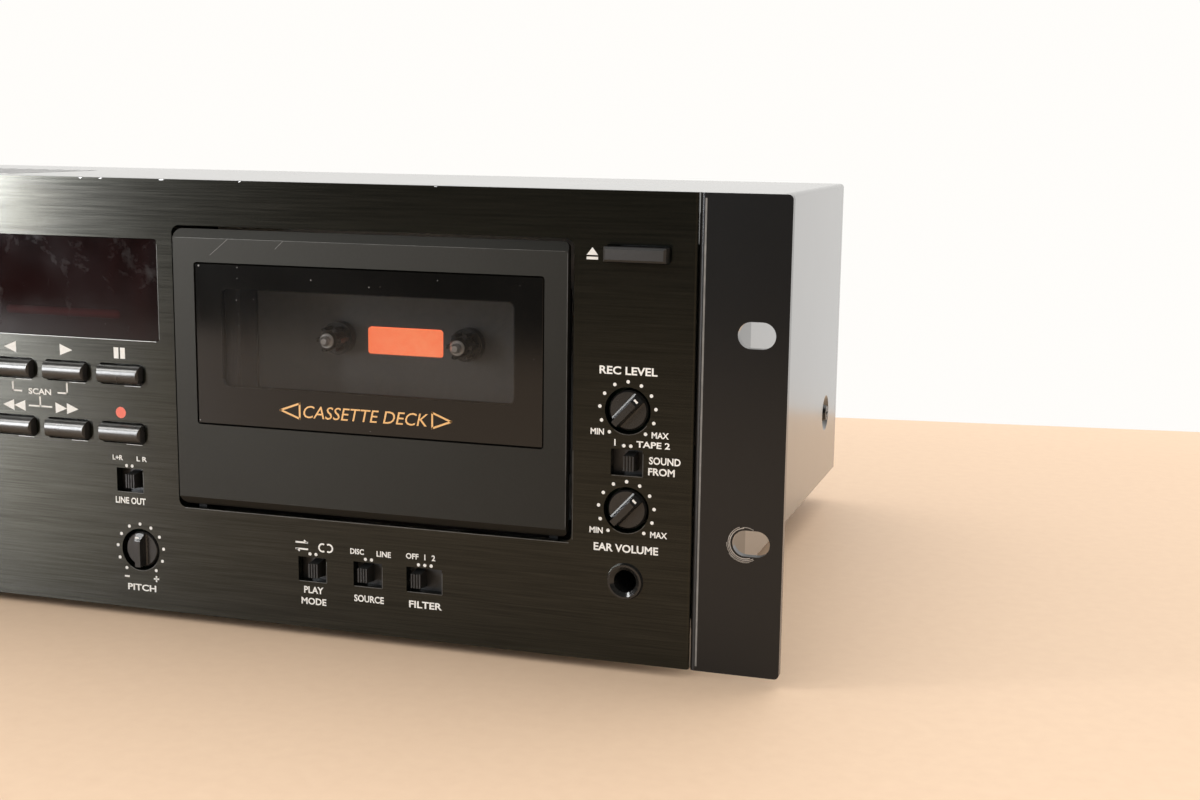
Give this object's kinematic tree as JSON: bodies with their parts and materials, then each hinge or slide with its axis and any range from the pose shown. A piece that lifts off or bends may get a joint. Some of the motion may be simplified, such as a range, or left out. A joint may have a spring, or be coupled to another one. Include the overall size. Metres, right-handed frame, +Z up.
{
  "type": "cd cassette deck",
  "caption": "Rack-mount audio deck with a motor-driven disc drawer, a tilting cassette door, press keys, level knobs and slide switches on a black brushed panel.",
  "frame": {"origin": "middle of the box in plan, on the soles of the feet", "axes": "+X to the right along the front panel, +Y from the front panel to the rear, +Z up"},
  "size_m": [0.4826, 0.254, 0.1353],
  "materials": {
    "black_anodised": "brushed along the width, anodised black",
    "ear_paint": "fine matte black paint",
    "cover_paint": "black satin paint",
    "zinc_steel": "zinc plated sheet",
    "rear_paint": "black satin paint",
    "screw_steel": "dark plated",
    "foot_rubber": "matte",
    "display_tint": "polished tinted acrylic",
    "circuit_board": "solder resist",
    "jack_plastic": "moulded",
    "transformer_core": "varnished laminations",
    "socket_plating": "plated",
    "deck_steel": "dark grey paint",
    "bay_plastic": "fine moulded grain",
    "amber_diffuser": "glowing diffuser",
    "motor_steel": "drawn can",
    "pulley_brass": "turned",
    "belt_rubber": "ground flat",
    "door_plastic": "fine moulded grain",
    "smoked_lens": "polished smoked acrylic",
    "spindle_plastic": "moulded with a bright nose",
    "capstan_steel": "ground",
    "head_metal": "pressed",
    "roller_rubber": "ground",
    "button_plastic": "satin",
    "key_satin": "satin metallic coat",
    "knob_plastic": "satin",
    "lever_plastic": "ribbed",
    "tray_plastic": "fine moulded grain",
    "tray_front_paint": "fine moulded grain",
    "loader_plastic": "moulded",
    "turntable_metal": "turned",
    "clamp_plastic": "moulded",
    "pickup_metal": "cast"
  },
  "bodies": {
    "case": {"chassis_base": "zinc_steel", "top_cover": "cover_paint", "rear_panel": "rear_paint", "front_panel": "black_anodised", "rack_ear_left": "ear_paint", "rack_ear_right": "ear_paint", "case_screws": "screw_steel", "feet": "foot_rubber", "display_window": "display_tint", "front_boards": "circuit_board", "phones_jack": "jack_plastic", "main_board": "circuit_board", "power_transformer": "transformer_core", "rca_sockets": "socket_plating", "mains_inlet": "jack_plastic", "deck_plate": "deck_steel", "cassette_well": "bay_plastic", "tape_backlight": "amber_diffuser", "flywheel_bridge": "zinc_steel", "capstan_motor": "motor_steel", "drive_belt": "belt_rubber", "cd_loader": "loader_plastic"},
    "door": {"cassette_door": "door_plastic", "door_lens": "smoked_lens", "cassette_holder": "bay_plastic"},
    "drawer": {"cd_tray": "tray_plastic", "tray_front": "tray_front_paint"},
    "reel_left": {"reel_spindle_left": "spindle_plastic"},
    "reel_right": {"reel_spindle_right": "spindle_plastic"},
    "capstan_l": {"capstan_left": "capstan_steel"},
    "capstan_r": {"capstan_right": "capstan_steel"},
    "pulley": {"motor_pulley": "pulley_brass"},
    "head": {"head_block": "head_metal"},
    "roller_left": {"pinch_roller_left": "roller_rubber"},
    "roller_right": {"pinch_roller_right": "roller_rubber"},
    "eject": {"eject_button": "button_plastic"},
    "power": {"power_button": "button_plastic"},
    "turntable": {"cd_turntable": "turntable_metal"},
    "clamper": {"cd_clamper": "clamp_plastic"},
    "pickup": {"optical_pickup": "pickup_metal"},
    "tape_stop_key_body": {"tape_stop_key": "key_satin"},
    "tape_reverse_key_body": {"tape_reverse_key": "key_satin"},
    "tape_play_key_body": {"tape_play_key": "key_satin"},
    "tape_pause_key_body": {"tape_pause_key": "key_satin"},
    "tape_rewind_key_body": {"tape_rewind_key": "key_satin"},
    "tape_forward_key_body": {"tape_forward_key": "key_satin"},
    "tape_record_key_body": {"tape_record_key": "key_satin"},
    "input_level_knob_body": {"input_level_knob": "knob_plastic"},
    "phones_level_knob_body": {"phones_level_knob": "knob_plastic"},
    "tape_speed_knob_body": {"tape_speed_knob": "knob_plastic"},
    "output_switch_body": {"output_switch": "lever_plastic"},
    "reverse_mode_switch_body": {"reverse_mode_switch": "lever_plastic"},
    "input_switch_body": {"input_switch": "lever_plastic"},
    "noise_filter_switch_body": {"noise_filter_switch": "lever_plastic"},
    "phones_switch_body": {"phones_switch": "lever_plastic"},
    "cd_stop_key_body": {"cd_stop_key": "key_satin"},
    "cd_play_key_body": {"cd_play_key": "key_satin"},
    "cd_open_key_body": {"cd_open_key": "key_satin"},
    "cd_back_key_body": {"cd_back_key": "key_satin"},
    "cd_next_key_body": {"cd_next_key": "key_satin"}
  },
  "joints": [
    {"name": "door_hinge", "type": "hinge", "parent": "case", "child": "door", "pos_m": [0.118, -0.1194, 0.0393], "axis": [1, 0, 0], "range_deg": [0, 25]},
    {"name": "drawer_slide", "type": "slide", "parent": "case", "child": "drawer", "axis": [0, -1, 0], "range_m": [0, 0.13]},
    {"name": "eject_press", "type": "slide", "parent": "case", "child": "eject", "axis": [0, 1, 0], "range_m": [0, 0.0025], "stiffness_N_per_m": 300},
    {"name": "power_press", "type": "slide", "parent": "case", "child": "power", "axis": [0, 1, 0], "range_m": [0, 0.0008], "stiffness_N_per_m": 500},
    {"name": "tape_stop_press", "type": "slide", "parent": "case", "child": "tape_stop_key_body", "axis": [0, 1, 0], "range_m": [0, 0.0008], "stiffness_N_per_m": 500},
    {"name": "tape_reverse_press", "type": "slide", "parent": "case", "child": "tape_reverse_key_body", "axis": [0, 1, 0], "range_m": [0, 0.0008], "stiffness_N_per_m": 500},
    {"name": "tape_play_press", "type": "slide", "parent": "case", "child": "tape_play_key_body", "axis": [0, 1, 0], "range_m": [0, 0.0008], "stiffness_N_per_m": 500},
    {"name": "tape_pause_press", "type": "slide", "parent": "case", "child": "tape_pause_key_body", "axis": [0, 1, 0], "range_m": [0, 0.0008], "stiffness_N_per_m": 500},
    {"name": "tape_rewind_press", "type": "slide", "parent": "case", "child": "tape_rewind_key_body", "axis": [0, 1, 0], "range_m": [0, 0.0008], "stiffness_N_per_m": 500},
    {"name": "tape_forward_press", "type": "slide", "parent": "case", "child": "tape_forward_key_body", "axis": [0, 1, 0], "range_m": [0, 0.0008], "stiffness_N_per_m": 500},
    {"name": "tape_record_press", "type": "slide", "parent": "case", "child": "tape_record_key_body", "axis": [0, 1, 0], "range_m": [0, 0.0008], "stiffness_N_per_m": 500},
    {"name": "cd_stop_press", "type": "slide", "parent": "case", "child": "cd_stop_key_body", "axis": [0, 1, 0], "range_m": [0, 0.0008], "stiffness_N_per_m": 500},
    {"name": "cd_play_press", "type": "slide", "parent": "case", "child": "cd_play_key_body", "axis": [0, 1, 0], "range_m": [0, 0.0008], "stiffness_N_per_m": 500},
    {"name": "cd_open_press", "type": "slide", "parent": "case", "child": "cd_open_key_body", "axis": [0, 1, 0], "range_m": [0, 0.0008], "stiffness_N_per_m": 500},
    {"name": "cd_back_press", "type": "slide", "parent": "case", "child": "cd_back_key_body", "axis": [0, 1, 0], "range_m": [0, 0.0008], "stiffness_N_per_m": 500},
    {"name": "cd_next_press", "type": "slide", "parent": "case", "child": "cd_next_key_body", "axis": [0, 1, 0], "range_m": [0, 0.0008], "stiffness_N_per_m": 500},
    {"name": "input_level_turn", "type": "hinge", "parent": "case", "child": "input_level_knob_body", "pos_m": [0.19695, -0.123, 0.07505], "axis": [0, 1, 0], "range_deg": [-183, 97]},
    {"name": "phones_level_turn", "type": "hinge", "parent": "case", "child": "phones_level_knob_body", "pos_m": [0.19695, -0.123, 0.047], "axis": [0, 1, 0], "range_deg": [-183, 97]},
    {"name": "tape_speed_turn", "type": "hinge", "parent": "case", "child": "tape_speed_knob_body", "pos_m": [0.0409, -0.123, 0.0215], "axis": [0, 1, 0], "range_deg": [-140, 140]},
    {"name": "output_switch_slide", "type": "slide", "parent": "case", "child": "output_switch_body", "axis": [1, 0, 0], "range_m": [-0.002, 0]},
    {"name": "reverse_mode_switch_slide", "type": "slide", "parent": "case", "child": "reverse_mode_switch_body", "axis": [1, 0, 0], "range_m": [-0.002, 0]},
    {"name": "input_switch_slide", "type": "slide", "parent": "case", "child": "input_switch_body", "axis": [1, 0, 0], "range_m": [0, 0.002]},
    {"name": "noise_filter_switch_slide", "type": "slide", "parent": "case", "child": "noise_filter_switch_body", "axis": [1, 0, 0], "range_m": [0, 0.004]},
    {"name": "phones_switch_slide", "type": "slide", "parent": "case", "child": "phones_switch_body", "axis": [1, 0, 0], "range_m": [-0.002, 0]},
    {"name": "reel_left_spin", "type": "hinge", "parent": "case", "child": "reel_left", "pos_m": [0.09675, -0.103, 0.0873], "axis": [0, 1, 0], "continuous": true},
    {"name": "reel_right_spin", "type": "hinge", "parent": "case", "child": "reel_right", "pos_m": [0.13925, -0.103, 0.0873], "axis": [0, 1, 0], "continuous": true},
    {"name": "capstan_left_spin", "type": "hinge", "parent": "case", "child": "capstan_l", "pos_m": [0.0935, -0.093, 0.0623], "axis": [0, 1, 0], "continuous": true},
    {"name": "capstan_right_spin", "type": "hinge", "parent": "case", "child": "capstan_r", "pos_m": [0.1425, -0.093, 0.0623], "axis": [0, 1, 0], "continuous": true},
    {"name": "pulley_spin", "type": "hinge", "parent": "case", "child": "pulley", "pos_m": [0.17, -0.083, 0.0403], "axis": [0, 1, 0], "continuous": true},
    {"name": "head_lift", "type": "slide", "parent": "case", "child": "head", "axis": [0, 0, 1], "range_m": [0, 0.009]},
    {"name": "roller_left_spin", "type": "hinge", "parent": "head", "child": "roller_left", "pos_m": [0.0935, -0.105, 0.0462], "axis": [0, 1, 0], "continuous": true},
    {"name": "roller_right_spin", "type": "hinge", "parent": "head", "child": "roller_right", "pos_m": [0.1425, -0.105, 0.0462], "axis": [0, 1, 0], "continuous": true},
    {"name": "turntable_spin", "type": "hinge", "parent": "case", "child": "turntable", "pos_m": [-0.138, -0.0539, 0.0928], "axis": [0, 0, 1], "continuous": true},
    {"name": "clamper_spin", "type": "hinge", "parent": "case", "child": "clamper", "pos_m": [-0.138, -0.0539, 0.1128], "axis": [0, 0, 1], "continuous": true},
    {"name": "pickup_slide", "type": "slide", "parent": "case", "child": "pickup", "axis": [0, 1, 0], "range_m": [0, 0.024]}
  ],
  "couplings": [
    {"joint": "capstan_right_spin", "follows": "capstan_left_spin", "ratio": -1},
    {"joint": "pulley_spin", "follows": "capstan_left_spin", "ratio": 4.4},
    {"joint": "clamper_spin", "follows": "turntable_spin", "ratio": 1}
  ]
}
